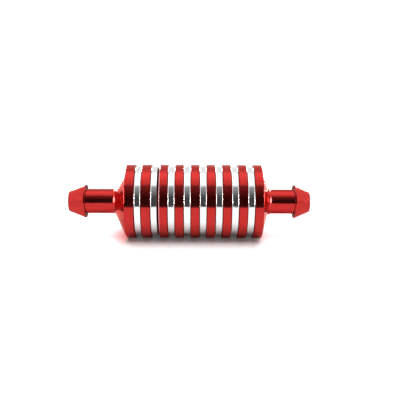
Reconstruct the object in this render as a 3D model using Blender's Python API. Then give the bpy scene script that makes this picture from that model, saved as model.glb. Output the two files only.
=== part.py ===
# Inline fuel filter for a small engine, turned from aluminium bar.
# The fuel line runs along X: hose barb and screw cap at -X (inlet), housing and barb at +X (outlet).
# Fuel comes in through the cap, passes round the element, and goes inwards through its gauze.
# All sizes are in metres.

import math

import bmesh
import bpy

for thing in list(bpy.data.objects):
    bpy.data.objects.remove(thing, do_unlink=True)

# Outside of the turned body
HALF_LENGTH = 0.0327
RING_RADIUS = 0.0100
GROOVE_RADIUS = 0.0094
GROOVE_SLOPE = 0.0003
EDGE_BREAK = 0.00025

# Rings of the cap, counted from its cone towards the joint
CAP_RING_START = -0.0169
CAP_RING_WIDTH = 0.0025
CAP_GROOVE_WIDTH = 0.0018
CAP_END = -0.0085
CAP_CONE_TIP = -0.0203

# Rings of the housing, counted from the joint
HOUSING_FACE = -0.0081
HOUSING_RING_START = -0.0079
HOUSING_RING_WIDTH = 0.00228
HOUSING_RING_PITCH = 0.00419
HOUSING_RINGS = 7
SHOULDER_END = 0.0219

# Hose barbs
TUBE_RADIUS = 0.00335
BARB_RADIUS = 0.00455
INLET_BARB_LENGTH = 0.0047
OUTLET_BARB_LENGTH = 0.00425
NOSE_RADIUS = 0.00275
BORE_RADIUS = 0.0018
ROOT_FILLET = 0.0009

# Screw joint between the cap's spigot and the housing
THREAD_PITCH = 0.0015
SPIGOT_RADIUS = 0.0075
SPIGOT_BORE = 0.0065
SPIGOT_END = -0.0015
THREAD_CREST = 0.0082
THREAD_START = -0.0062
THREAD_TURNS = 2.5
THREAD_FOOT_HALF_WIDTH = 0.00042
THREAD_CREST_HALF_WIDTH = 0.00014
THREAD_CLEARANCE = 0.0002
GROOVE_LEAD_OUT_TURNS = 2
GROOVE_LEAD_IN_TURNS = 0.25
HOUSING_BORE = 0.00775
HOUSING_FLOOR = 0.0170

# O-ring squeezed in the chamfer of the housing's mouth
FIT_GAP = 0.00015
O_RING_CORD = 0.00045

# Spring that presses the element on its seat
SPRING_POCKET_FLOOR = -0.0142
SPRING_POCKET_END = -0.0128
SPRING_POCKET_RADIUS = 0.0052
SPRING_RADIUS = 0.0042
WIRE_RADIUS = 0.0004
SPRING_ACTIVE_TURNS = 3.5
CLOSED_TURN_PITCH = 0.00095
WASHER_THICKNESS = 0.0006

# Filter element
ELEMENT_START = -0.0048
ELEMENT_END = 0.0160
FLANGE_RADIUS = 0.0053
FLANGE_THICKNESS = 0.0012
CORE_OUTER = 0.0044
CORE_INNER = 0.0040
SCREEN_INNER = 0.00455
SCREEN_OUTER = 0.00475
BAND_INNER = 0.0049
BAND_OUTER = 0.0053
BAND_WIDTH = 0.0012
PLUG_RADIUS = 0.0038
PLUG_DEPTH = 0.0016
SPRING_BOSS_RADIUS = 0.0034
SPRING_BOSS_LENGTH = 0.0014
SEAT_GAP = 0.0002
HOLE_RADIUS = 0.0007
HOLE_ROWS = 6
HOLES_PER_ROW = 6

ROUND_SEGMENTS = 40
SMALL_SEGMENTS = 30
COIL_SEGMENTS = 20
HOLE_SEGMENTS = 10
FULL_TURN = 2 * math.pi

# Finishes: colour, roughness, metallic
RED_ANODISED = ((0.60, 0.025, 0.022), 0.32, 1.0)
DARK_RUBBER = ((0.012, 0.012, 0.013), 0.65, 0.0)
SPRING_STEEL = ((0.42, 0.42, 0.44), 0.30, 1.0)
ZINC_PLATE = ((0.62, 0.63, 0.66), 0.35, 1.0)
STAINLESS = ((0.55, 0.55, 0.56), 0.28, 1.0)
GAUZE = ((0.48, 0.46, 0.42), 0.45, 1.0)
BRASS = ((0.72, 0.52, 0.22), 0.30, 1.0)


def finished_object(name, shape, finish):
    # A bmesh becomes a named, smooth-shaded object with its own material.
    bmesh.ops.recalc_face_normals(shape, faces=shape.faces)
    mesh = bpy.data.meshes.new(name)
    shape.to_mesh(mesh)
    shape.free()
    mesh.shade_smooth()
    mesh.set_sharp_from_angle(angle=math.radians(30))
    colour, roughness, metallic = finish
    material = bpy.data.materials.new(name)
    material.use_nodes = True
    surface = material.node_tree.nodes["Principled BSDF"]
    surface.inputs["Base Color"].default_value = (*colour, 1.0)
    surface.inputs["Roughness"].default_value = roughness
    surface.inputs["Metallic"].default_value = metallic
    mesh.materials.append(material)
    thing = bpy.data.objects.new(name, mesh)
    bpy.context.collection.objects.link(thing)
    return thing


def turned(name, outline, finish, segments=ROUND_SEGMENTS, solid=False):
    # An outline of (x, radius) points, turned once round the X axis; a solid one starts and ends on it.
    shape = bmesh.new()
    points = [shape.verts.new((x, 0.0, radius)) for x, radius in outline]
    ends = points[1:] if solid else points[1:] + points[:1]
    sides = [shape.edges.new(pair) for pair in zip(points, ends)]
    bmesh.ops.spin(
        shape,
        geom=points + sides,
        cent=(0.0, 0.0, 0.0),
        axis=(1.0, 0.0, 0.0),
        angle=FULL_TURN,
        steps=segments,
        use_merge=True,
    )
    if solid:
        bmesh.ops.remove_doubles(shape, verts=shape.verts, dist=0.000001)
    return finished_object(name, shape, finish)


def wound(name, section_at, path, finish):
    # A section of (x, radius) points carried along a path of (turns, x) stations, closed at both ends.
    shape = bmesh.new()
    rows = []
    for station, (turns, x) in enumerate(path):
        angle = turns * FULL_TURN
        row = []
        for along, radius in section_at(station, len(path)):
            y = radius * math.cos(angle)
            z = radius * math.sin(angle)
            row.append(shape.verts.new((x + along, y, z)))
        rows.append(row)
    for row, following in zip(rows, rows[1:]):
        for i in range(len(row)):
            j = (i + 1) % len(row)
            shape.faces.new((row[i], row[j], following[j], following[i]))
    shape.faces.new(rows[0])
    shape.faces.new(rows[-1])
    return finished_object(name, shape, finish)


def carve(thing, cutter, operation):
    # The cutter is a guide that stays out of the model.
    cutter.hide_render = True
    cutter.display_type = "WIRE"
    change = thing.modifiers.new(cutter.name, "BOOLEAN")
    change.operation = operation
    change.object = cutter


def arc(centre_x, centre_r, radius, start, end, steps):
    # Points on a round stretch of an outline, angles in degrees from +X towards larger radius.
    points = []
    for step in range(steps + 1):
        angle = math.radians(start + (end - start) * step / steps)
        points.append((centre_x + radius * math.cos(angle), centre_r + radius * math.sin(angle)))
    return points


def barb_outline(side, length):
    # From the nose's bore edge back to the plain tube; side is -1 for the inlet, +1 for the outlet.
    tip = side * HALF_LENGTH
    rear = side * (HALF_LENGTH - length)
    return [
        (tip, BORE_RADIUS),
        (tip, NOSE_RADIUS - EDGE_BREAK),
        (tip - side * EDGE_BREAK, NOSE_RADIUS),
        (rear + side * EDGE_BREAK, BARB_RADIUS),
        (rear, BARB_RADIUS - EDGE_BREAK),
        (rear, TUBE_RADIUS),
    ]


def ring_outline(start, width):
    # One raised ring between its two groove slopes.
    return [
        (start - GROOVE_SLOPE, GROOVE_RADIUS),
        (start, RING_RADIUS),
        (start + width, RING_RADIUS),
        (start + width + GROOVE_SLOPE, GROOVE_RADIUS),
    ]


def thread_path():
    steps = int(THREAD_TURNS * ROUND_SEGMENTS)
    path = []
    for step in range(steps + 1):
        turns = step / ROUND_SEGMENTS
        path.append((turns, THREAD_START + turns * THREAD_PITCH))
    return path


def thread_groove_path():
    # The same helix, run on past both ends so that the ridge can screw right out of the mouth.
    steps = int((THREAD_TURNS + GROOVE_LEAD_OUT_TURNS + GROOVE_LEAD_IN_TURNS) * ROUND_SEGMENTS)
    path = []
    for step in range(steps + 1):
        turns = step / ROUND_SEGMENTS - GROOVE_LEAD_OUT_TURNS
        path.append((turns, THREAD_START + turns * THREAD_PITCH))
    return path


def thread_section(crest, foot, widening):
    # A ridge that fades out over its first and last sixth of a turn.
    fade = ROUND_SEGMENTS // 6
    foot_half = THREAD_FOOT_HALF_WIDTH + widening
    crest_half = THREAD_CREST_HALF_WIDTH + widening

    def section(station, stations):
        share = min(1.0, station / fade, (stations - 1 - station) / fade)
        top = foot + (crest - foot) * (0.15 + 0.85 * share)
        return [(-foot_half, foot), (-crest_half, top), (crest_half, top), (foot_half, foot)]

    return section


def inlet_cap():
    first_ring_end = CAP_RING_START + CAP_RING_WIDTH
    second_ring_start = first_ring_end + CAP_GROOVE_WIDTH
    outline = barb_outline(-1, INLET_BARB_LENGTH)
    outline += arc(CAP_CONE_TIP - ROOT_FILLET / 2, TUBE_RADIUS + ROOT_FILLET, ROOT_FILLET, 270, 333, 3)
    outline += [(CAP_RING_START, RING_RADIUS)]
    outline += ring_outline(CAP_RING_START, CAP_RING_WIDTH)[2:]
    outline += ring_outline(second_ring_start, CAP_RING_WIDTH)
    outline += [
        (CAP_END, GROOVE_RADIUS),
        (CAP_END, SPIGOT_RADIUS),
        (SPIGOT_END - EDGE_BREAK, SPIGOT_RADIUS),
        (SPIGOT_END, SPIGOT_RADIUS - EDGE_BREAK),
        (SPIGOT_END, SPIGOT_BORE),
        (SPRING_POCKET_END, SPIGOT_BORE),
        (SPRING_POCKET_END, SPRING_POCKET_RADIUS),
        (SPRING_POCKET_FLOOR, SPRING_POCKET_RADIUS),
        (SPRING_POCKET_FLOOR, BORE_RADIUS),
    ]
    cap = turned("inlet_cap", outline, RED_ANODISED)
    foot = SPIGOT_RADIUS - THREAD_CLEARANCE
    ridge = wound("thread_ridge", thread_section(THREAD_CREST, foot, 0.0), thread_path(), RED_ANODISED)
    carve(cap, ridge, "UNION")


def outlet_housing():
    cord_x, cord_r = o_ring_centre()
    seat_line = cord_x + cord_r + math.sqrt(2) * (O_RING_CORD + FIT_GAP)
    outline = [(HOUSING_FACE, RING_RADIUS - 2 * EDGE_BREAK)]
    outline += ring_outline(HOUSING_RING_START, HOUSING_RING_WIDTH)[1:]
    for ring in range(1, HOUSING_RINGS):
        outline += ring_outline(HOUSING_RING_START + ring * HOUSING_RING_PITCH, HOUSING_RING_WIDTH)
    outline.pop()
    outline += arc(SHOULDER_END, TUBE_RADIUS + ROOT_FILLET, ROOT_FILLET, 195, 270, 3)
    outline += reversed(barb_outline(1, OUTLET_BARB_LENGTH))
    outline += [
        (HOUSING_FLOOR, BORE_RADIUS),
        (HOUSING_FLOOR, HOUSING_BORE),
        (seat_line - HOUSING_BORE, HOUSING_BORE),
        (HOUSING_FACE, seat_line - HOUSING_FACE),
    ]
    housing = turned("outlet_housing", outline, RED_ANODISED)
    foot = SPIGOT_RADIUS
    crest = THREAD_CREST + THREAD_CLEARANCE
    section = thread_section(crest, foot, THREAD_CLEARANCE)
    groove = wound("thread_groove", section, thread_groove_path(), RED_ANODISED)
    carve(housing, groove, "DIFFERENCE")


def o_ring_centre():
    return CAP_END + FIT_GAP + O_RING_CORD, SPIGOT_RADIUS + FIT_GAP + O_RING_CORD


def cap_o_ring():
    cord_x, cord_r = o_ring_centre()
    outline = arc(cord_x, cord_r, O_RING_CORD, 0, 360, 8)[:-1]
    turned("cap_o_ring", outline, DARK_RUBBER)


def spring_ends():
    return SPRING_POCKET_FLOOR + SEAT_GAP, ELEMENT_START - 2 * SEAT_GAP - WASHER_THICKNESS


def element_spring():
    # Closed end turns lie flat on the pocket floor and on the washer; the active turns take the rest.
    low, high = spring_ends()
    low_centre = low + WIRE_RADIUS
    active_length = high - low - 2 * WIRE_RADIUS - 2 * CLOSED_TURN_PITCH
    active_pitch = active_length / SPRING_ACTIVE_TURNS
    total_turns = SPRING_ACTIVE_TURNS + 2
    path = []
    for step in range(int(total_turns * COIL_SEGMENTS) + 1):
        turns = step / COIL_SEGMENTS
        closed = min(turns, 1.0) + max(turns - 1.0 - SPRING_ACTIVE_TURNS, 0.0)
        active = turns - closed
        path.append((turns, low_centre + closed * CLOSED_TURN_PITCH + active * active_pitch))
    section = arc(0.0, SPRING_RADIUS, WIRE_RADIUS, 0, 360, 6)[:-1]
    wound("element_spring", lambda station, stations: section, path, SPRING_STEEL)


def ring(name, start, end, inner, outer, finish):
    outline = [(start, inner), (start, outer), (end, outer), (end, inner)]
    turned(name, outline, finish, SMALL_SEGMENTS)


def spring_washer():
    end = ELEMENT_START - SEAT_GAP
    inner = SPRING_BOSS_RADIUS + SEAT_GAP
    ring("spring_washer", end - WASHER_THICKNESS, end, inner, FLANGE_RADIUS - SEAT_GAP, ZINC_PLATE)


def element_end_disc():
    # Solid disc: a plug goes into the core, and a boss on the other side centres the spring.
    flange_end = ELEMENT_START + FLANGE_THICKNESS
    outline = [
        (ELEMENT_START - SPRING_BOSS_LENGTH, 0.0),
        (ELEMENT_START - SPRING_BOSS_LENGTH, SPRING_BOSS_RADIUS - EDGE_BREAK),
        (ELEMENT_START - SPRING_BOSS_LENGTH + EDGE_BREAK, SPRING_BOSS_RADIUS),
        (ELEMENT_START, SPRING_BOSS_RADIUS),
        (ELEMENT_START, FLANGE_RADIUS),
        (flange_end, FLANGE_RADIUS),
        (flange_end, PLUG_RADIUS),
        (flange_end + PLUG_DEPTH, PLUG_RADIUS),
        (flange_end + PLUG_DEPTH, 0.0),
    ]
    turned("element_end_disc", outline, BRASS, SMALL_SEGMENTS, solid=True)


def core_ends():
    start = ELEMENT_START + FLANGE_THICKNESS + SEAT_GAP
    end = ELEMENT_END - FLANGE_THICKNESS - SEAT_GAP
    return start, end


def element_core():
    # Support tube with staggered rows of round holes.
    start, end = core_ends()
    outline = [(start, CORE_INNER), (start, CORE_OUTER), (end, CORE_OUTER), (end, CORE_INNER)]
    core = turned("element_core", outline, STAINLESS, SMALL_SEGMENTS)
    first = start + PLUG_DEPTH + 2 * HOLE_RADIUS
    last = end - PLUG_DEPTH - 2 * HOLE_RADIUS
    shape = bmesh.new()
    for row in range(HOLE_ROWS):
        x = first + (last - first) * row / (HOLE_ROWS - 1)
        for hole in range(HOLES_PER_ROW):
            angle = (hole + 0.5 * (row % 2)) * FULL_TURN / HOLES_PER_ROW
            drill_cylinder(shape, x, angle)
    drills = finished_object("core_drills", shape, STAINLESS)
    carve(core, drills, "DIFFERENCE")


def drill_cylinder(shape, x, angle):
    # One radial drill, standing through the tube's wall.
    inner = CORE_INNER - HOLE_RADIUS
    outer = CORE_OUTER + HOLE_RADIUS
    across = (0.0, -math.sin(angle), math.cos(angle))
    outwards = (0.0, math.cos(angle), math.sin(angle))
    rims = []
    for reach in (inner, outer):
        rim = []
        for side in range(HOLE_SEGMENTS):
            turn = side * FULL_TURN / HOLE_SEGMENTS
            along = HOLE_RADIUS * math.cos(turn)
            sideways = HOLE_RADIUS * math.sin(turn)
            y = reach * outwards[1] + sideways * across[1]
            z = reach * outwards[2] + sideways * across[2]
            rim.append(shape.verts.new((x + along, y, z)))
        rims.append(rim)
    inner_rim, outer_rim = rims
    shape.faces.new(reversed(inner_rim))
    shape.faces.new(outer_rim)
    for side in range(HOLE_SEGMENTS):
        following = (side + 1) % HOLE_SEGMENTS
        shape.faces.new(
            (inner_rim[side], inner_rim[following], outer_rim[following], outer_rim[side])
        )


def element_screen():
    start, end = core_ends()
    ring("element_screen", start + SEAT_GAP, end - SEAT_GAP, SCREEN_INNER, SCREEN_OUTER, GAUZE)


def screen_bands():
    start, end = core_ends()
    inlet_start = start + SEAT_GAP
    outlet_start = end - SEAT_GAP - BAND_WIDTH
    ring("inlet_screen_band", inlet_start, inlet_start + BAND_WIDTH, BAND_INNER, BAND_OUTER, STAINLESS)
    ring("outlet_screen_band", outlet_start, outlet_start + BAND_WIDTH, BAND_INNER, BAND_OUTER, STAINLESS)


def element_collar():
    # Open end of the element: a flange on the gasket and a sleeve inside the core.
    flange_start = ELEMENT_END - FLANGE_THICKNESS
    inner = BORE_RADIUS + 2 * SEAT_GAP
    outline = [
        (ELEMENT_END, inner),
        (flange_start - PLUG_DEPTH, inner),
        (flange_start - PLUG_DEPTH, PLUG_RADIUS),
        (flange_start, PLUG_RADIUS),
        (flange_start, FLANGE_RADIUS),
        (ELEMENT_END, FLANGE_RADIUS),
    ]
    turned("element_collar", outline, BRASS, SMALL_SEGMENTS)


def outlet_gasket():
    end = HOUSING_FLOOR - SEAT_GAP
    inner = BORE_RADIUS + 2 * SEAT_GAP
    ring("outlet_gasket", ELEMENT_END + SEAT_GAP, end, inner, FLANGE_RADIUS, DARK_RUBBER)


inlet_cap()
cap_o_ring()
outlet_housing()
element_spring()
spring_washer()
element_end_disc()
element_core()
element_screen()
screen_bands()
element_collar()
outlet_gasket()
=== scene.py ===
import math

import bmesh
import bpy
from mathutils import Matrix, Vector


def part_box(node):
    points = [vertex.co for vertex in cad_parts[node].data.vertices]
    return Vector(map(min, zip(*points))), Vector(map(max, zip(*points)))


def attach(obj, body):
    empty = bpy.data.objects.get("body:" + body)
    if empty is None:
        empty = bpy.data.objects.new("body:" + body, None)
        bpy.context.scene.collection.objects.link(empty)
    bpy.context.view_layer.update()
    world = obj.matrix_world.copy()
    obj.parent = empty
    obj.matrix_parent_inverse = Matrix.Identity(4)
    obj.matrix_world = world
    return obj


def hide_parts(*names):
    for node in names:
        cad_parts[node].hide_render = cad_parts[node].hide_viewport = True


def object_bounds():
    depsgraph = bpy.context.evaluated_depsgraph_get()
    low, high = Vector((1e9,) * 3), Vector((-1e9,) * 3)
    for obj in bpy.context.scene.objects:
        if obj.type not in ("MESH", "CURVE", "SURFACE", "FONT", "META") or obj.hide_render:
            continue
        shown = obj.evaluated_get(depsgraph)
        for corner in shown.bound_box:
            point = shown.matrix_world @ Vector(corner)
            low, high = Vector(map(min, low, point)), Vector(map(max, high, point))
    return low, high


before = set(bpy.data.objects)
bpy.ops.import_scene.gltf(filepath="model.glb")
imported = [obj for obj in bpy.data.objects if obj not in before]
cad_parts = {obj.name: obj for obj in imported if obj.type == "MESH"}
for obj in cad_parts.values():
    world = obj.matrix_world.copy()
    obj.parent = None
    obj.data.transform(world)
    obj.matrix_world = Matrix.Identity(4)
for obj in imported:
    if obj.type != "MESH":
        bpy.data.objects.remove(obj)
cadLow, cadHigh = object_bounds()
spigotEnd = float(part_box("inlet_cap")[1][0])
ringRadius = float(cadHigh[2])
halfLength = float(cadHigh[0])
fullTurn = 2 * math.pi
mm = 0.001


def hexColour(code):
    # an sRGB hex value as the linear colour that the shader takes
    channels = []
    for start in (0, 2, 4):
        value = int(code[start : start + 2], 16) / 255
        channels.append(value / 12.92 if value <= 0.04045 else ((value + 0.055) / 1.055) ** 2.4)
    return (*channels, 1.0)


def addNode(tree, kind, settings=None, values=None, links=None):
    # one node with its settings, socket values and incoming links
    node = tree.nodes.new(kind)
    for setting, value in (settings or {}).items():
        setattr(node, setting, value)
    for socket, value in (values or {}).items():
        node.inputs[socket].default_value = value
    for socket, source in (links or {}).items():
        tree.links.new(source, node.inputs[socket])
    return node


def newFinish(name):
    material = bpy.data.materials.new(name)
    material.use_nodes = True
    return material, material.node_tree, material.node_tree.nodes["Principled BSDF"]


def turnedLines(tree, spacing, roundness):
    # noise drawn out round the axis, as a lathe tool leaves it: it changes along the axis and away
    # from it from one tool line to the next, and only slowly round it
    spot = addNode(tree, "ShaderNodeTexCoord")
    parts = addNode(tree, "ShaderNodeSeparateXYZ", links={"Vector": spot.outputs["Object"]})
    flat = addNode(tree, "ShaderNodeCombineXYZ", links={"Y": parts.outputs["Y"], "Z": parts.outputs["Z"]})
    away = {"Vector": flat.outputs["Vector"]}
    radius = addNode(tree, "ShaderNodeVectorMath", {"operation": "LENGTH"}, links=away)
    turn = addNode(tree, "ShaderNodeVectorMath", {"operation": "NORMALIZE"}, links=away)
    across = addNode(
        tree,
        "ShaderNodeCombineXYZ",
        links={"X": parts.outputs["X"], "Y": radius.outputs["Value"]},
    )
    lengthwise = addNode(
        tree,
        "ShaderNodeVectorMath",
        {"operation": "SCALE"},
        {"Scale": 1 / spacing},
        {"Vector": across.outputs["Vector"]},
    )
    around = addNode(
        tree,
        "ShaderNodeVectorMath",
        {"operation": "SCALE"},
        {"Scale": roundness},
        {"Vector": turn.outputs["Vector"]},
    )
    both = addNode(
        tree,
        "ShaderNodeVectorMath",
        {"operation": "ADD"},
        links={0: lengthwise.outputs["Vector"], 1: around.outputs["Vector"]},
    )
    return addNode(
        tree,
        "ShaderNodeTexNoise",
        values={"Scale": 1.0, "Detail": 2.0, "Roughness": 0.5},
        links={"Vector": both.outputs["Vector"]},
    )


def turnedMetal(name, look):
    # a metal whose tone, gloss and relief change from one tool line to the next
    material, tree, surface = newFinish(name)
    lines = turnedLines(tree, look["lineSpacing"], look["lineRoundness"])
    tone = addNode(
        tree,
        "ShaderNodeMix",
        {"data_type": "RGBA"},
        {"A": hexColour(look["dark"]), "B": hexColour(look["light"])},
        {"Factor": lines.outputs["Fac"]},
    )
    gloss = addNode(
        tree,
        "ShaderNodeMapRange",
        values={"To Min": look["roughness"][0], "To Max": look["roughness"][1]},
        links={"Value": lines.outputs["Fac"]},
    )
    relief = addNode(
        tree,
        "ShaderNodeBump",
        values={"Strength": look["lineStrength"], "Distance": look["lineHeight"]},
        links={"Height": lines.outputs["Fac"]},
    )
    tree.links.new(tone.outputs["Result"], surface.inputs["Base Color"])
    tree.links.new(gloss.outputs["Result"], surface.inputs["Roughness"])
    tree.links.new(relief.outputs["Normal"], surface.inputs["Normal"])
    surface.inputs["Metallic"].default_value = 1.0
    return material, tree, surface, relief


anodisedLook = {
    "light": "BA2420",
    "dark": "AE1F1C",
    "edgeTint": (1.0, 0.45, 0.40, 1.0),
    "roughness": (0.08, 0.15),
    "lineSpacing": 0.12 * mm,
    "lineRoundness": 1.5,
    "lineStrength": 0.25,
    "lineHeight": 0.0004 * mm,
    "coatWeight": 0.45,
    "coatIor": 1.40,
    "coatRoughness": 0.22,
}


def redAnodisedAluminium():
    # turned aluminium under a clear, dyed oxide layer: the metal shines red through the dye, and
    # the oxide adds white at a glancing angle; its tool lines are coarser than real ones, to show
    look = anodisedLook
    material, tree, surface, relief = turnedMetal("redAnodisedAluminium", look)
    surface.inputs["Specular Tint"].default_value = look["edgeTint"]
    surface.inputs["Coat Weight"].default_value = look["coatWeight"]
    surface.inputs["Coat IOR"].default_value = look["coatIor"]
    surface.inputs["Coat Roughness"].default_value = look["coatRoughness"]
    return material


brightCutLook = {
    "light": "FAFAFA",
    "dark": "E4E6E8",
    "roughness": (0.03, 0.14),
    "lineSpacing": 0.09 * mm,
    "lineRoundness": 6.0,
    "lineStrength": 0.6,
    "lineHeight": 0.002 * mm,
    "chatterSpacing": 0.35 * mm,
    "chatterHeight": 0.011 * mm,
}


def brightCutAluminium():
    # bare aluminium cut by a sharp tool after dyeing: near mirror, broken by fine rings and chatter
    look = brightCutLook
    material, tree, surface, relief = turnedMetal("brightCutAluminium", look)
    spot = addNode(tree, "ShaderNodeTexCoord")
    chatter = addNode(
        tree,
        "ShaderNodeTexNoise",
        values={"Scale": 1 / look["chatterSpacing"], "Detail": 2.0, "Roughness": 0.6},
        links={"Vector": spot.outputs["Object"]},
    )
    waves = addNode(
        tree,
        "ShaderNodeBump",
        values={"Strength": 1.0, "Distance": look["chatterHeight"]},
        links={"Height": chatter.outputs["Fac"]},
    )
    tree.links.new(waves.outputs["Normal"], relief.inputs["Normal"])
    return material


# the dark reds of the painted shade lines and patches
paintedShadeLook = {
    "light": "6E130E",
    "dark": "460A07",
    "roughness": 0.45,
    "shine": 0.02,
    "lineSpacing": 0.2 * mm,
    "lineRoundness": 8.0,
}


def paintedShadeLines():
    # a dull, dark red painted as shade: thin dark lines on ring edges and steep groove sides, and dark
    # barb rears, joint faces and nose edges
    look = paintedShadeLook
    material, tree, surface = newFinish("paintedShadeLines")
    lines = turnedLines(tree, look["lineSpacing"], look["lineRoundness"])
    tone = addNode(
        tree,
        "ShaderNodeMix",
        {"data_type": "RGBA"},
        {"A": hexColour(look["dark"]), "B": hexColour(look["light"])},
        {"Factor": lines.outputs["Fac"]},
    )
    tree.links.new(tone.outputs["Result"], surface.inputs["Base Color"])
    surface.inputs["Roughness"].default_value = look["roughness"]
    surface.inputs["Specular IOR Level"].default_value = look["shine"]
    return material


def innerMetal(name, light, dark, roughness, lineSpacing):
    # a metal inside the shell, machined, drawn or rolled, all with lines of the same depth
    look = {
        "light": light,
        "dark": dark,
        "roughness": roughness,
        "lineSpacing": lineSpacing,
        "lineRoundness": 3.0,
        "lineStrength": 0.3,
        "lineHeight": 0.003 * mm,
    }
    return turnedMetal(name, look)[0]


rubberLook = {
    "black": "0C0C0D",
    "bloom": "1B1B1D",
    "bloomSize": 0.8 * mm,
    "roughness": 0.6,
}


def nitrileRubber():
    # moulded nitrile: black, dull, with a faint bloom
    look = rubberLook
    material, tree, surface = newFinish("nitrileRubber")
    spot = addNode(tree, "ShaderNodeTexCoord")
    bloom = addNode(
        tree,
        "ShaderNodeTexNoise",
        values={"Scale": 1 / look["bloomSize"], "Detail": 3.0},
        links={"Vector": spot.outputs["Object"]},
    )
    tone = addNode(
        tree,
        "ShaderNodeMix",
        {"data_type": "RGBA"},
        {"A": hexColour(look["black"]), "B": hexColour(look["bloom"])},
        {"Factor": bloom.outputs["Fac"]},
    )
    tree.links.new(tone.outputs["Result"], surface.inputs["Base Color"])
    surface.inputs["Roughness"].default_value = look["roughness"]
    return material


def roundedOutline(corners, steps=6):
    # corners are (x, radius from the axis, rounding); each rounding becomes an arc that meets both sides
    points = []
    for i, (x, height, rounding) in enumerate(corners):
        here = Vector((x, height))
        if rounding == 0:
            points.append((x, height))
            continue
        back = (Vector(corners[i - 1][:2]) - here).normalized()
        ahead = (Vector(corners[(i + 1) % len(corners)][:2]) - here).normalized()
        half = back.angle(ahead) / 2
        centre = here + (back + ahead).normalized() * rounding / math.sin(half)
        start = here + back * rounding / math.tan(half) - centre
        end = here + ahead * rounding / math.tan(half) - centre
        first = math.atan2(start.y, start.x)
        sweep = (math.atan2(end.y, end.x) - first + math.pi) % fullTurn - math.pi
        for step in range(steps + 1):
            angle = first + sweep * step / steps
            points.append((centre.x + rounding * math.cos(angle), centre.y + rounding * math.sin(angle)))
    return points


def spinOutline(shape, outline, segments, closed=True):
    # turns an outline once round the axis; an open outline starts and ends on the axis
    points = [shape.verts.new((x, 0.0, height)) for x, height in outline]
    ends = points[1:] + points[:1] if closed else points[1:]
    sides = [shape.edges.new(pair) for pair in zip(points, ends)]
    bmesh.ops.spin(
        shape,
        geom=points + sides,
        cent=(0.0, 0.0, 0.0),
        axis=(1.0, 0.0, 0.0),
        angle=fullTurn,
        steps=segments,
        use_merge=True,
    )
    if not closed:
        bmesh.ops.remove_doubles(shape, verts=shape.verts, dist=0.0005 * mm)


def sectionFace(shape, outline):
    # a flat face in the plane through the axis, ready to be wound round it
    points = [shape.verts.new((x, 0.0, height)) for x, height in outline]
    sides = [shape.edges.new(pair) for pair in zip(points, points[1:] + points[:1])]
    made = bmesh.ops.contextual_create(shape, geom=sides)
    return points + sides + made["faces"]


def windFace(shape, section, turns, pitch, steps):
    # winds a face round the axis while it climbs along it; the last face can be wound further
    count = max(1, round(turns * steps))
    wound = bmesh.ops.spin(
        shape,
        geom=section,
        cent=(0.0, 0.0, 0.0),
        axis=(1.0, 0.0, 0.0),
        dvec=(turns * pitch / count, 0.0, 0.0),
        angle=turns * fullTurn,
        steps=count,
    )
    return wound["geom_last"]


def finishPiece(name, shape, finishes, finishAt=None, sharpAngle=35):
    # the bmesh becomes a smooth-shaded object, its faces given finishes by where they lie
    bmesh.ops.recalc_face_normals(shape, faces=shape.faces)
    if finishAt:
        for face in shape.faces:
            middle = face.calc_center_median()
            face.material_index = finishAt(middle.x, math.hypot(middle.y, middle.z), face.normal)
    mesh = bpy.data.meshes.new(name)
    shape.to_mesh(mesh)
    shape.free()
    for finish in finishes:
        mesh.materials.append(finish)
    mesh.shade_smooth()
    mesh.set_sharp_from_angle(angle=math.radians(sharpAngle))
    piece = bpy.data.objects.new(name, mesh)
    bpy.context.collection.objects.link(piece)
    return piece


def place(piece, body, node):
    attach(piece, body)
    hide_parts(node)


def carve(piece, cutter, sharpAngle=35):
    # cuts the cutter's shape out of the piece for good
    change = piece.modifiers.new("carve", "BOOLEAN")
    change.operation = "DIFFERENCE"
    change.solver = "EXACT"
    change.object = cutter
    graph = bpy.context.evaluated_depsgraph_get()
    carved = bpy.data.meshes.new_from_object(piece.evaluated_get(graph))
    piece.modifiers.clear()
    piece.data = carved
    carved.set_sharp_from_angle(angle=math.radians(sharpAngle))
    bpy.data.objects.remove(cutter)


def buildTurned(name, corners, finish, body, node, closed=True, segments=96):
    # one small piece turned all over
    shape = bmesh.new()
    spinOutline(shape, roundedOutline(corners), segments, closed)
    piece = finishPiece(name, shape, [finish])
    place(piece, body, node)
    return piece


barb = {
    "tubeRadius": 3.35 * mm,
    "barbRadius": 4.55 * mm,
    "landWidth": 0.35 * mm,
    "landDrop": 0.03 * mm,
    "inletLength": 4.7 * mm,
    "outletLength": 4.25 * mm,
    "undercut": 0.22 * mm,
    "noseRadius": 2.85 * mm,
    "noseRounding": 0.32 * mm,
    "landRounding": 0.08 * mm,
    "lipRounding": 0.03 * mm,
    "boreRounding": 0.12 * mm,
    "rootWidth": 0.35 * mm,
    "rootRise": 0.25 * mm,
    "rootRounding": 0.06 * mm,
    "boreRadius": 1.8 * mm,
}


def barbCorners(side):
    # from the bore's mouth over the nose and the barb back to the plain tube
    tip = side * halfLength
    length = barb["inletLength"] if side < 0 else barb["outletLength"]
    rear = side * (halfLength - length)
    return [
        (tip, barb["boreRadius"], barb["boreRounding"]),
        (tip, barb["noseRadius"], barb["noseRounding"]),
        (rear + side * barb["landWidth"], barb["barbRadius"] - barb["landDrop"], barb["landRounding"]),
        (rear, barb["barbRadius"], barb["lipRounding"]),
        (rear + side * barb["undercut"], barb["tubeRadius"], barb["boreRounding"]),
    ]


rings = {
    "capStart": -16.9 * mm,
    "capWidth": 2.5 * mm,
    "capGroove": 1.8 * mm,
    "housingStart": -7.9 * mm,
    "housingWidth": 2.28 * mm,
    "housingPitch": 4.19 * mm,
    "housingCount": 7,
    "grooveDepth": 0.6 * mm,
    "grooveSlope": 0.05 * mm,
    "grooveFillet": 0.31 * mm,
    "edgeRun": 0.09 * mm,
    "edgeDrop": 0.09 * mm,
    "edgeRounding": 0.03 * mm,
    "outerRounding": 0.16 * mm,
    "steepSide": 48.0,
}


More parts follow.
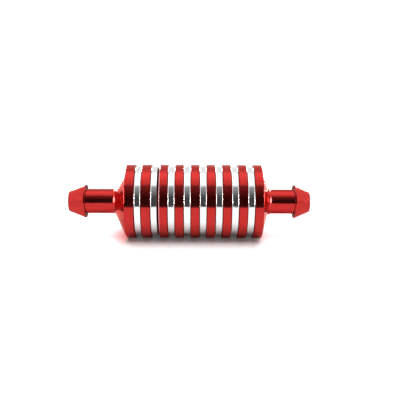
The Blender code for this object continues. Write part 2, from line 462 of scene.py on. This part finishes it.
def grooveAfter(ringEnd, nextStart):
    # the groove between two rings: broken edges, steep sides, round fillets and a flat floor
    bottom = ringRadius - rings["grooveDepth"]
    brokenEdge = ringRadius - rings["edgeDrop"]
    return [
        (ringEnd - rings["edgeRun"], ringRadius, rings["edgeRounding"]),
        (ringEnd, brokenEdge, 0),
        (ringEnd + rings["grooveSlope"], bottom, rings["grooveFillet"]),
        (nextStart - rings["grooveSlope"], bottom, rings["grooveFillet"]),
        (nextStart, brokenEdge, 0),
        (nextStart + rings["edgeRun"], ringRadius, rings["edgeRounding"]),
    ]


finishPlaces = {
    "grooveDrop": 0.05 * mm,
    "rearFacing": -0.5,
    "rearReach": 1.1,
    "jointFacing": -0.9,
    "jointReach": 0.3 * mm,
    "noseFacing": (0.3, 0.98),
    "shadeReach": 1.4,
}


def shellFinishes(spans, side):
    # which finish a face of the cap or the housing takes: 0 red, 1 bright-cut in the grooves and on
    # the joint's chamfer, 2 dark red painted shade on ring edges, steep groove sides, barb rears, joint
    # faces and the nose's edge
    limits = finishPlaces
    groove = ringRadius - rings["grooveDepth"] - limits["grooveDrop"]
    edge = rings["edgeRun"]
    steep = math.sin(math.radians(rings["steepSide"]))
    outerEnd = spans[0][0] if side < 0 else spans[-1][1]
    joint = housing["face"] if side > 0 else cap["faceEnd"]
    barbRear = halfLength - (barb["inletLength"] if side < 0 else barb["outletLength"])
    rearReach = limits["rearReach"] * barb["undercut"]
    noseStart = halfLength - barb["noseRounding"]
    noseLow, noseHigh = limits["noseFacing"]

    def finishAt(x, height, normal):
        facing = normal.x * side
        if height < groove:
            onBarbRear = facing < limits["rearFacing"] and abs(side * x - barbRear) < rearReach
            inJoint = facing < limits["jointFacing"] and abs(x - joint) < limits["jointReach"]
            onNoseEdge = noseLow < facing < noseHigh and side * x > noseStart
            return 2 if onBarbRear or inJoint or onNoseEdge else 0
        if side * x > side * outerEnd:
            return 0
        if side > 0 and x < housing["chamferEnd"] + edge:
            if housing["chamferFoot"] < x < housing["chamferEnd"]:
                return 1
            return 2 if facing < limits["jointFacing"] else 0
        for start, end in spans:
            if start < x < end:
                nearEdge = min(x - start, end - x) < limits["shadeReach"] * edge
                return 2 if nearEdge and abs(x - outerEnd) > edge else 0
        return 2 if abs(normal.x) > steep else 1

    return finishAt


cap = {
    "coneTip": -20.02 * mm,
    "faceEnd": -8.44 * mm,
    "spigotRadius": 7.5 * mm,
    "spigotBore": 6.5 * mm,
    "pocketFloor": -14.2 * mm,
    "pocketEnd": -12.8 * mm,
    "pocketRadius": 5.2 * mm,
    "jointRounding": 0.08 * mm,
    "insideRounding": 0.1 * mm,
    "spigotRounding": 0.2 * mm,
    "threadOverlap": 0.1 * mm,
    "segments": 192,
}

thread = {
    "pitch": 1.5 * mm,
    "start": -6.2 * mm,
    "turns": 2.25,
    "steps": 96,
    "crest": 8.2 * mm,
    "footWidth": 0.84 * mm,
    "crestWidth": 0.28 * mm,
    "innerCrest": 7.78 * mm,
    "innerRoot": 8.42 * mm,
    "innerFootWidth": 0.98 * mm,
    "innerCrestWidth": 0.44 * mm,
    "innerTurns": 3.1,
    "runOut": 0.16,
    "runOutHeight": 0.3,
    "leastHeight": 0.05,
}


def windThread(shape, start, turns, foot, footWidth, crest, crestWidth):
    # a helical ridge that rises out of its foot at the start and sinks back into it at the end
    outline = [
        (start - footWidth / 2, foot),
        (start - crestWidth / 2, crest),
        (start + crestWidth / 2, crest),
        (start + footWidth / 2, foot),
    ]
    windFace(shape, sectionFace(shape, outline), turns, thread["pitch"], thread["steps"])
    travel = turns * thread["pitch"]
    for point in shape.verts:
        height = math.hypot(point.co.y, point.co.z)
        share = (point.co.x - start) / travel
        nearest = min(share, 1 - share) / thread["runOut"]
        rise = max(thread["leastHeight"], min(1.0, nearest + thread["runOutHeight"]))
        scale = (foot + (height - foot) * rise) / height
        point.co.y *= scale
        point.co.z *= scale


def buildCap(red, bright, darkShade):
    firstEnd = rings["capStart"] + rings["capWidth"]
    secondStart = firstEnd + rings["capGroove"]
    secondEnd = secondStart + rings["capWidth"]
    inside = cap["insideRounding"]
    corners = barbCorners(-1)
    # a small chamfer at the tube's root, then the cone
    corners += [(cap["coneTip"] - barb["rootWidth"], barb["tubeRadius"], barb["rootRounding"])]
    corners += [(cap["coneTip"], barb["tubeRadius"] + barb["rootRise"], barb["rootRounding"])]
    corners += [(rings["capStart"], ringRadius, rings["outerRounding"])]
    corners += grooveAfter(firstEnd, secondStart)
    corners += grooveAfter(secondEnd, cap["faceEnd"])[:3]
    corners += [
        (cap["faceEnd"], ringRadius - rings["grooveDepth"], cap["jointRounding"]),
        (cap["faceEnd"], cap["spigotRadius"], inside),
        (spigotEnd, cap["spigotRadius"], cap["spigotRounding"]),
        (spigotEnd, cap["spigotBore"], inside),
        (cap["pocketEnd"], cap["spigotBore"], inside),
        (cap["pocketEnd"], cap["pocketRadius"], inside),
        (cap["pocketFloor"], cap["pocketRadius"], inside),
        (cap["pocketFloor"], barb["boreRadius"], inside),
    ]
    shape = bmesh.new()
    windThread(
        shape,
        thread["start"] + thread["pitch"] / 4,
        thread["turns"],
        cap["spigotRadius"] - cap["threadOverlap"],
        thread["footWidth"],
        thread["crest"],
        thread["crestWidth"],
    )
    spinOutline(shape, roundedOutline(corners), cap["segments"])
    finishAt = shellFinishes([(rings["capStart"], firstEnd), (secondStart, secondEnd)], -1)
    piece = finishPiece("turnedCap", shape, [red, bright, darkShade], finishAt)
    place(piece, "cap", "inlet_cap")
    return piece


housing = {
    "face": -7.98 * mm,
    "faceRadius": 9.88 * mm,
    "chamferFoot": -7.83 * mm,
    "chamferRadius": 9.96 * mm,
    "chamferEnd": -7.77 * mm,
    "shoulderEnd": 21.3 * mm,
    "hubEnd": 21.78 * mm,
    "bore": 7.75 * mm,
    "reliefEnd": -1.2 * mm,
    "floor": 17.0 * mm,
    "mouth": 9.15 * mm,
    "chamferRounding": 0.02 * mm,
    "insideRounding": 0.1 * mm,
    "cornerRounding": 0.2 * mm,
    "reliefRun": 0.4 * mm,
    "reliefRounding": 0.05 * mm,
    "threadOverlap": 0.08 * mm,
    "segments": 192,
}


def buildHousing(red, bright, darkShade):
    spans = []
    for count in range(rings["housingCount"]):
        start = rings["housingStart"] + count * rings["housingPitch"]
        spans.append((start, start + rings["housingWidth"]))
    corners = [(housing["face"], housing["faceRadius"], 0)]
    corners += [(housing["chamferFoot"], housing["chamferRadius"], 0)]
    corners += [(housing["chamferEnd"], ringRadius, housing["chamferRounding"])]
    for (start, end), (nextStart, nextEnd) in zip(spans, spans[1:]):
        corners += grooveAfter(end, nextStart)
    corners += [(spans[-1][1], ringRadius, rings["outerRounding"])]
    # the cone ends in a short hub, with a small chamfer down to the tube
    hubRadius = barb["tubeRadius"] + barb["rootRise"]
    corners += [(housing["shoulderEnd"], hubRadius, housing["cornerRounding"])]
    corners += [(housing["hubEnd"], hubRadius, barb["rootRounding"])]
    corners += [(housing["hubEnd"] + barb["rootWidth"], barb["tubeRadius"], barb["rootRounding"])]
    corners += reversed(barbCorners(1))
    reliefStart = housing["face"] + housing["mouth"] - thread["innerRoot"]
    corners += [
        (housing["floor"], barb["boreRadius"], housing["insideRounding"]),
        (housing["floor"], housing["bore"], housing["cornerRounding"]),
        (housing["reliefEnd"], housing["bore"], housing["reliefRounding"]),
        (housing["reliefEnd"] - housing["reliefRun"], thread["innerRoot"], housing["reliefRounding"]),
        (reliefStart, thread["innerRoot"], housing["chamferRounding"]),
        (housing["face"], housing["mouth"], 0),
    ]
    shape = bmesh.new()
    windThread(
        shape,
        thread["start"] - thread["pitch"] / 4,
        thread["innerTurns"],
        thread["innerRoot"] + housing["threadOverlap"],
        thread["innerFootWidth"],
        thread["innerCrest"],
        thread["innerCrestWidth"],
    )
    spinOutline(shape, roundedOutline(corners), housing["segments"])
    finishAt = shellFinishes(spans, 1)
    piece = finishPiece("turnedHousing", shape, [red, bright, darkShade], finishAt)
    place(piece, "housing", "outlet_housing")
    return piece


seal = {
    "x": -7.9 * mm,
    "radius": 8.1 * mm,
    "cord": 0.45 * mm,
    "flash": 0.02 * mm,
    "quarter": 6,
    "segments": 128,
}


def buildSeal(rubber):
    # moulded O-ring, with the fine flash line of its mould on both sides
    corners = []
    for step in range(4 * seal["quarter"]):
        angle = math.pi / 2 * step / seal["quarter"]
        onFlash = step in (seal["quarter"], 3 * seal["quarter"])
        reach = seal["cord"] if onFlash else seal["cord"] - seal["flash"]
        corners.append((seal["x"] + reach * math.sin(angle), seal["radius"] + reach * math.cos(angle), 0))
    shape = bmesh.new()
    spinOutline(shape, roundedOutline(corners), seal["segments"])
    piece = finishPiece("sealingRing", shape, [rubber], sharpAngle=60)
    place(piece, "seal", "cap_o_ring")


spring = {
    "low": -14.0 * mm,
    "high": -5.8 * mm,
    "radius": 4.2 * mm,
    "wire": 0.4 * mm,
    "grind": 0.2 * mm,
    "closedPitch": 0.86 * mm,
    "activeTurns": 3.5,
    "wireSides": 14,
    "steps": 64,
}


def buildSpring(steel):
    # round wire wound with a closed turn at each end, and both ends ground flat
    first = spring["low"] + spring["wire"] - spring["grind"]
    travel = spring["high"] - spring["low"] - 2 * (spring["wire"] - spring["grind"])
    activePitch = (travel - 2 * spring["closedPitch"]) / spring["activeTurns"]
    wire = spring["wire"]
    outline = []
    for step in range(spring["wireSides"]):
        angle = fullTurn * step / spring["wireSides"]
        outline.append((first + wire * math.sin(angle), spring["radius"] + wire * math.cos(angle)))
    shape = bmesh.new()
    section = sectionFace(shape, outline)
    section = windFace(shape, section, 1.0, spring["closedPitch"], spring["steps"])
    section = windFace(shape, section, spring["activeTurns"], activePitch, spring["steps"])
    windFace(shape, section, 1.0, spring["closedPitch"], spring["steps"])
    for level, outward in ((spring["low"], -1.0), (spring["high"], 1.0)):
        ground = bmesh.ops.bisect_plane(
            shape,
            geom=shape.verts[:] + shape.edges[:] + shape.faces[:],
            plane_co=(level, 0.0, 0.0),
            plane_no=(outward, 0.0, 0.0),
            clear_outer=True,
        )
        rim = [part for part in ground["geom_cut"] if isinstance(part, bmesh.types.BMEdge)]
        bmesh.ops.holes_fill(shape, edges=rim)
    piece = finishPiece("coiledSpring", shape, [steel], sharpAngle=40)
    place(piece, "spring", "element_spring")


def ringCorners(start, end, hole, holeRounding, rim, rimRounding):
    # a flat ring or a tube
    return [
        (start, hole, holeRounding),
        (start, rim, rimRounding),
        (end, rim, rimRounding),
        (end, hole, holeRounding),
    ]


washer = {
    "start": -5.6 * mm,
    "end": -5.0 * mm,
    "hole": 3.6 * mm,
    "holeRounding": 0.08 * mm,
    "rim": 5.1 * mm,
    "rimRounding": 0.12 * mm,
}

gasket = {
    "start": 16.2 * mm,
    "end": 16.8 * mm,
    "hole": 2.2 * mm,
    "holeRounding": 0.12 * mm,
    "rim": 5.3 * mm,
    "rimRounding": 0.18 * mm,
}

endDisc = {
    "bossStart": -6.2 * mm,
    "bossRadius": 3.4 * mm,
    "bossRounding": 0.3 * mm,
    "centreDepth": 0.5 * mm,
    "centreRadius": 0.55 * mm,
    "centreRounding": 0.04 * mm,
    "flangeStart": -4.8 * mm,
    "flangeEnd": -3.6 * mm,
    "plugEnd": -2.0 * mm,
}

collar = {
    "plugStart": 13.2 * mm,
    "flangeStart": 14.8 * mm,
    "flangeEnd": 16.0 * mm,
    "bore": 2.2 * mm,
    "mouthRounding": 0.2 * mm,
}

elementEnds = {
    "flangeRadius": 5.3 * mm,
    "flangeRounding": 0.18 * mm,
    "plugRadius": 3.8 * mm,
    "plugRounding": 0.35 * mm,
    "rootRounding": 0.1 * mm,
    "edgeRounding": 0.12 * mm,
}


def buildEndDisc(brass):
    # the closed end: a boss for the spring with a lathe centre in it, a flange, a plug in the core
    ends = elementEnds
    corners = [
        (endDisc["bossStart"] + endDisc["centreDepth"], 0, 0),
        (endDisc["bossStart"], endDisc["centreRadius"], endDisc["centreRounding"]),
        (endDisc["bossStart"], endDisc["bossRadius"], endDisc["bossRounding"]),
        (endDisc["flangeStart"], endDisc["bossRadius"], ends["edgeRounding"]),
        (endDisc["flangeStart"], ends["flangeRadius"], ends["flangeRounding"]),
        (endDisc["flangeEnd"], ends["flangeRadius"], ends["flangeRounding"]),
        (endDisc["flangeEnd"], ends["plugRadius"], ends["rootRounding"]),
        (endDisc["plugEnd"], ends["plugRadius"], ends["plugRounding"]),
        (endDisc["plugEnd"], 0, 0),
    ]
    buildTurned("elementEndDisc", corners, brass, "element", "element_end_disc", False)


def buildCollar(brass):
    # the open end: a plug in the core, and a flange that presses on the gasket
    ends = elementEnds
    corners = [
        (collar["plugStart"], collar["bore"], ends["edgeRounding"]),
        (collar["plugStart"], ends["plugRadius"], ends["plugRounding"]),
        (collar["flangeStart"], ends["plugRadius"], ends["rootRounding"]),
        (collar["flangeStart"], ends["flangeRadius"], ends["flangeRounding"]),
        (collar["flangeEnd"], ends["flangeRadius"], ends["flangeRounding"]),
        (collar["flangeEnd"], collar["bore"], collar["mouthRounding"]),
    ]
    buildTurned("elementCollar", corners, brass, "element", "element_collar")


core = {
    "low": -3.4 * mm,
    "high": 14.6 * mm,
    "inner": 4.0 * mm,
    "innerRounding": 0.06 * mm,
    "outer": 4.4 * mm,
    "outerRounding": 0.08 * mm,
    "firstRow": -0.4 * mm,
    "lastRow": 11.6 * mm,
    "rows": 6,
    "holes": 6,
    "holeRadius": 0.7 * mm,
    "holeSegments": 32,
    "punchLength": 1.6 * mm,
}


def buildCore(steel):
    # punched sheet rolled into a tube: staggered rows of round holes
    corners = ringCorners(
        core["low"],
        core["high"],
        core["inner"],
        core["innerRounding"],
        core["outer"],
        core["outerRounding"],
    )
    piece = buildTurned("punchedCore", corners, steel, "element", "element_core")
    punches = bmesh.new()
    gap = (core["lastRow"] - core["firstRow"]) / (core["rows"] - 1)
    for row in range(core["rows"]):
        for hole in range(core["holes"]):
            turn = fullTurn * (hole + 0.5 * (row % 2)) / core["holes"]
            spot = Matrix.Translation((core["firstRow"] + row * gap, 0.0, core["outer"]))
            bmesh.ops.create_cone(
                punches,
                cap_ends=True,
                segments=core["holeSegments"],
                radius1=core["holeRadius"],
                radius2=core["holeRadius"],
                depth=core["punchLength"],
                matrix=Matrix.Rotation(turn, 4, "X") @ spot,
            )
    carve(piece, finishPiece("punches", punches, [steel]))


gauze = {
    "low": -3.2 * mm,
    "high": 14.4 * mm,
    "radius": 4.65 * mm,
    "wire": 0.05 * mm,
    "hoops": 40,
    "lengths": 64,
}


def buildGauze(steel):
    # plain weave: each wire goes over one crossing and under the next
    span = gauze["high"] - gauze["low"] - 2 * gauze["wire"]
    gap = span / (gauze["hoops"] - 1)
    first = gauze["low"] + gauze["wire"]
    data = bpy.data.curves.new("wovenGauze", "CURVE")
    data.dimensions = "3D"
    data.bevel_depth = gauze["wire"]
    data.bevel_resolution = 0

    def addWire(spots, loop):
        spline = data.splines.new("POLY")
        spline.points.add(len(spots) - 1)
        for point, spot in zip(spline.points, spots):
            point.co = (*spot, 1.0)
        spline.use_cyclic_u = loop

    for count in range(gauze["lengths"]):
        angle = fullTurn * count / gauze["lengths"]
        spots = []
        for step in range(2 * gauze["hoops"] - 1):
            reach = gauze["radius"] + gauze["wire"] * math.cos(math.pi * (step / 2 + count))
            spots.append((first + step * gap / 2, reach * math.cos(angle), reach * math.sin(angle)))
        addWire(spots, False)
    for count in range(gauze["hoops"]):
        spots = []
        for step in range(2 * gauze["lengths"]):
            angle = math.pi * step / gauze["lengths"]
            reach = gauze["radius"] - gauze["wire"] * math.cos(math.pi * (step / 2 + count))
            spots.append((first + count * gap, reach * math.cos(angle), reach * math.sin(angle)))
        addWire(spots, True)
    wires = bpy.data.objects.new("wovenGauze", data)
    shape = bmesh.new()
    shape.from_mesh(bpy.data.meshes.new_from_object(wires))
    bpy.data.objects.remove(wires)
    piece = finishPiece("wovenGauze", shape, [steel], sharpAngle=100)
    place(piece, "element", "element_screen")


band = {
    "width": 1.2 * mm,
    "inner": 4.9 * mm,
    "innerRounding": 0.05 * mm,
    "outer": 5.14 * mm,
    "bead": 5.3 * mm,
    "beadStart": 0.3 * mm,
    "beadTop": 0.45 * mm,
    "outerRounding": 0.08 * mm,
    "lapTurn": 0.1,
    "lapInset": 0.04 * mm,
    "lapDepth": 0.1 * mm,
    "lapSteps": 120,
    "segments": 96,
}


def buildBand(name, low, node, steel):
    # a crimped strip: a pressed bead all round, and the lap where its ends are spot-welded
    high = low + band["width"]
    soft = band["outerRounding"]
    corners = [
        (low, band["inner"], band["innerRounding"]),
        (low, band["outer"], soft),
        (low + band["beadStart"], band["outer"], soft),
        (low + band["beadTop"], band["bead"], soft),
        (high - band["beadTop"], band["bead"], soft),
        (high - band["beadStart"], band["outer"], soft),
        (high, band["outer"], soft),
        (high, band["inner"], band["innerRounding"]),
    ]
    lap = ringCorners(
        low + band["lapInset"],
        high - band["lapInset"],
        band["inner"] + band["lapDepth"],
        0,
        band["bead"],
        band["innerRounding"],
    )
    shape = bmesh.new()
    windFace(shape, sectionFace(shape, roundedOutline(lap)), band["lapTurn"], 0.0, band["lapSteps"])
    spinOutline(shape, roundedOutline(corners), band["segments"])
    piece = finishPiece(name, shape, [steel])
    place(piece, "element", node)


camera = {
    "distance": 177 * mm,
    "foot": 0.93 * mm,
    "elevation": 15.0,
    "lens": 58.2,
    "roll": 0.2,
    "shift": (0.0186, 0.0033),
}


def buildCamera():
    data = bpy.data.cameras.new("studioCamera")
    data.lens = camera["lens"]
    data.sensor_width = 36.0
    data.shift_x, data.shift_y = camera["shift"]
    data.clip_start = 0.01
    data.clip_end = 20.0
    eye = bpy.data.objects.new("studioCamera", data)
    bpy.context.collection.objects.link(eye)
    tilt = math.radians(camera["elevation"])
    away = Vector((0.0, -math.cos(tilt), math.sin(tilt)))
    roll = Matrix.Rotation(math.radians(camera["roll"]), 4, "Z")
    turn = Matrix.Rotation(math.pi / 2 - tilt, 4, "X") @ roll
    spot = Vector((camera["foot"], 0, 0)) + away * camera["distance"]
    eye.matrix_world = Matrix.Translation(spot) @ turn
    bpy.context.scene.camera = eye


studio = {
    "floorSize": 3.0,
    "floorColour": "F7F7F7",
    "floorRoughness": 0.8,
    "floorFront": -0.16,
    "floorBack": 0.12,
    # painted light on the table, seen only by the camera, that whitens the shadows beside the ends
    "floorGlow": (0.06, 0.60),
    "glowStart": 17 * mm,
    "glowEnd": 23 * mm,
    "softboxSize": 3.75,
    "softboxDistance": 3.0,
    "softboxElevation": 82.0,
    "softboxPower": 158.0,
}


def buildFloor():
    # a white table that ends just in front of the camera; to the camera it also glows, as painted light
    # that washes out shadows: faintly under the filter's middle and more beside its ends, under the tubes
    shape = bmesh.new()
    low = float(cadLow[2])
    bmesh.ops.create_grid(shape, x_segments=1, y_segments=1, size=1.0)
    for corner in shape.verts:
        corner.co.x *= studio["floorSize"]
        corner.co.y = studio["floorBack"] if corner.co.y > 0 else studio["floorFront"]
        corner.co.z = low
    material, tree, surface = newFinish("whiteTable")
    surface.inputs["Base Color"].default_value = hexColour(studio["floorColour"])
    surface.inputs["Roughness"].default_value = studio["floorRoughness"]
    surface.inputs["Specular IOR Level"].default_value = 0.0
    ray = addNode(tree, "ShaderNodeLightPath")
    spot = addNode(tree, "ShaderNodeTexCoord")
    parts = addNode(tree, "ShaderNodeSeparateXYZ", links={"Vector": spot.outputs["Object"]})
    away = addNode(tree, "ShaderNodeMath", {"operation": "ABSOLUTE"}, links={0: parts.outputs["X"]})
    beside = addNode(
        tree,
        "ShaderNodeMapRange",
        {"interpolation_type": "SMOOTHSTEP"},
        {
            "From Min": studio["glowStart"],
            "From Max": studio["glowEnd"],
            "To Min": studio["floorGlow"][0],
            "To Max": studio["floorGlow"][1],
        },
        {"Value": away.outputs["Value"]},
    )
    # painted light: the camera alone sees the table glow, which lifts its shadows
    glow = addNode(
        tree,
        "ShaderNodeMath",
        {"operation": "MULTIPLY"},
        links={0: ray.outputs["Is Camera Ray"], 1: beside.outputs["Result"]},
    )
    tree.links.new(glow.outputs["Value"], surface.inputs["Emission Strength"])
    floor = finishPiece("table", shape, [material])


def buildSoftbox():
    # lights the table from above and a little in front; the tent stands in for it in reflections
    data = bpy.data.lights.new("softbox", "AREA")
    data.shape = "SQUARE"
    data.size = studio["softboxSize"]
    data.energy = studio["softboxPower"]
    lamp = bpy.data.objects.new("softbox", data)
    bpy.context.collection.objects.link(lamp)
    tilt = math.radians(studio["softboxElevation"])
    way = Vector((0.0, -math.cos(tilt), math.sin(tilt)))
    facing = way.to_track_quat("Z", "Y").to_matrix().to_4x4()
    lamp.matrix_world = Matrix.Translation(way * studio["softboxDistance"]) @ facing
    lamp.visible_glossy = False


tent = {
    "ambient": 0.20,
    "backdrop": 1.15,
    "horizon": 0.0001,
    # each step: the angle it follows, the degrees between which it goes, its level before and after
    "steps": {
        "room": ("over", 22, 68, 0.055, 0.34),
        "roofEdge": ("over", 61, 72, 0.0, 0.86),
        "roof": ("over", 73, 102, 0.0, 0.52),
        "wall": ("over", 104, 140, 0.0, -0.84),
        "seamStart": ("over", 121, 125, 0.0, -0.24),
        "seamEnd": ("over", 127, 131, 1.0, 0.0),
        "flank": ("over", 8, 28, 1.1, 1.4),
        "atFlank": ("sideways", 24, 32, 0.0, 1.0),
        "notAtFlank": ("sideways", 24, 32, 1.0, 0.0),
        "stripStart": ("sideways", 67, 73, 0.0, 36.0),
        "stripEnd": ("sideways", 82, 87, 1.0, 0.0),
        "backStrip": ("over", 150, 165, 0.0, 30.0),
        "backStart": ("sideways", 14, 20, 0.0, 1.0),
        "backEnd": ("sideways", 29, 37, 1.0, 0.0),
    },
}


def buildTent():
    # a white tunnel of a tent along the filter, which only reflections see: its roof is bright,
    # its front is open and dark, and strip lights stand at both ends and low at the back; over is
    # the angle from the front horizon over the top, sideways the angle towards either end; all
    # else gets an even, weak ambient light, and the camera sees a plain white backdrop
    world = bpy.data.worlds.new("whiteTent")
    bpy.context.scene.world = world
    world.use_nodes = True
    tree = world.node_tree
    tree.nodes.clear()
    way = addNode(tree, "ShaderNodeTexCoord")
    parts = addNode(tree, "ShaderNodeSeparateXYZ", links={"Vector": way.outputs["Generated"]})
    ray = addNode(tree, "ShaderNodeLightPath")
    terms = {
        "x": parts.outputs["X"],
        "y": parts.outputs["Y"],
        "z": parts.outputs["Z"],
        "glossy": ray.outputs["Is Glossy Ray"],
        "camera": ray.outputs["Is Camera Ray"],
    }

    def work(sums):
        # a maths node for each sum; its inputs are plain numbers or the names of earlier results
        for result, operation, *inputs in sums:
            numbers = {socket: term for socket, term in enumerate(inputs) if isinstance(term, float)}
            links = {socket: terms[term] for socket, term in enumerate(inputs) if isinstance(term, str)}
            node = addNode(tree, "ShaderNodeMath", {"operation": operation}, numbers, links)
            terms[result] = node.outputs["Value"]

    work(
        [
            ("front", "MULTIPLY", "y", -1.0),
            ("height", "MAXIMUM", "z", tent["horizon"]),
            ("over", "ARCTAN2", "height", "front"),
            ("lean", "ARCSINE", "x"),
            ("sideways", "ABSOLUTE", "lean"),
        ]
    )
    for result, (angle, start, end, before, after) in tent["steps"].items():
        step = addNode(
            tree,
            "ShaderNodeMapRange",
            {"interpolation_type": "SMOOTHSTEP"},
            {
                "From Min": math.radians(start),
                "From Max": math.radians(end),
                "To Min": before,
                "To Max": after,
            },
            {"Value": terms[angle]},
        )
        terms[result] = step.outputs["Result"]
    work(
        [
            ("seam", "MULTIPLY", "seamStart", "seamEnd"),
            ("low", "ADD", "room", "roofEdge"),
            ("bright", "ADD", "low", "roof"),
            ("falling", "ADD", "bright", "wall"),
            ("tunnel", "ADD", "falling", "seam"),
            ("middle", "MULTIPLY", "tunnel", "notAtFlank"),
            ("walls", "MULTIPLY_ADD", "atFlank", "flank", "middle"),
            ("strip", "MULTIPLY", "stripStart", "stripEnd"),
            ("backSpan", "MULTIPLY", "backStart", "backEnd"),
            ("back", "MULTIPLY", "backStrip", "backSpan"),
            ("lit", "ADD", "walls", "strip"),
            ("seen", "ADD", "lit", "back"),
            ("extra", "SUBTRACT", "seen", tent["ambient"]),
            ("light", "MULTIPLY_ADD", "glossy", "extra", tent["ambient"]),
            ("backdrop", "MULTIPLY", "camera", tent["backdrop"]),
            ("strength", "MAXIMUM", "light", "backdrop"),
        ]
    )
    white = {"Color": (1.0, 1.0, 1.0, 1.0)}
    light = addNode(tree, "ShaderNodeBackground", values=white, links={"Strength": terms["strength"]})
    addNode(tree, "ShaderNodeOutputWorld", links={"Surface": light.outputs["Background"]})
    bpy.context.scene.view_settings.view_transform = "Standard"


print("camera and studio")
buildCamera()
buildTent()
buildSoftbox()
buildFloor()
print("finishes")
red = redAnodisedAluminium()
bright = brightCutAluminium()
# a dark red painted on edges, barb rears and joint faces as shade
darkShade = paintedShadeLines()
rubber = nitrileRubber()
# drawn wire, dull grey with lines along its coils
springSteel = innerMetal("drawnSpringSteel", "B9B9BD", "98989D", (0.22, 0.40), 0.08 * mm)
# zinc plating, bright with a blue cast
zinc = innerMetal("brightZincPlate", "D6D9E0", "BFC3CB", (0.15, 0.30), 0.10 * mm)
# turned brass, yellow and glossy
brass = innerMetal("turnedBrass", "E3C585", "CFAE6C", (0.16, 0.34), 0.09 * mm)
# rolled stainless sheet, satin grey
coreSteel = innerMetal("punchedStainless", "C9C9CA", "AFAFB1", (0.25, 0.42), 0.15 * mm)
# fine stainless wire, a duller and warmer grey
gauzeSteel = innerMetal("wovenStainless", "C2BFB5", "A8A599", (0.25, 0.45), 0.30 * mm)
# pressed stainless strip, a little brighter than the core
bandSteel = innerMetal("crimpedStainless", "CDCDCE", "B2B2B4", (0.18, 0.34), 0.12 * mm)
print("turned cap and housing")
buildCap(red, bright, darkShade)
buildHousing(red, bright, darkShade)
print("seal, spring and small turnings")
buildSeal(rubber)
buildSpring(springSteel)
buildTurned("springWasher", ringCorners(**washer), zinc, "spring", "spring_washer")
buildEndDisc(brass)
buildCollar(brass)
buildTurned("housingGasket", ringCorners(**gasket), rubber, "housing", "outlet_gasket")
print("filter element")
buildCore(coreSteel)
buildGauze(gauzeSteel)
buildBand("inletCrimpBand", -3.2 * mm, "inlet_screen_band", bandSteel)
buildBand("outletCrimpBand", 13.2 * mm, "outlet_screen_band", bandSteel)
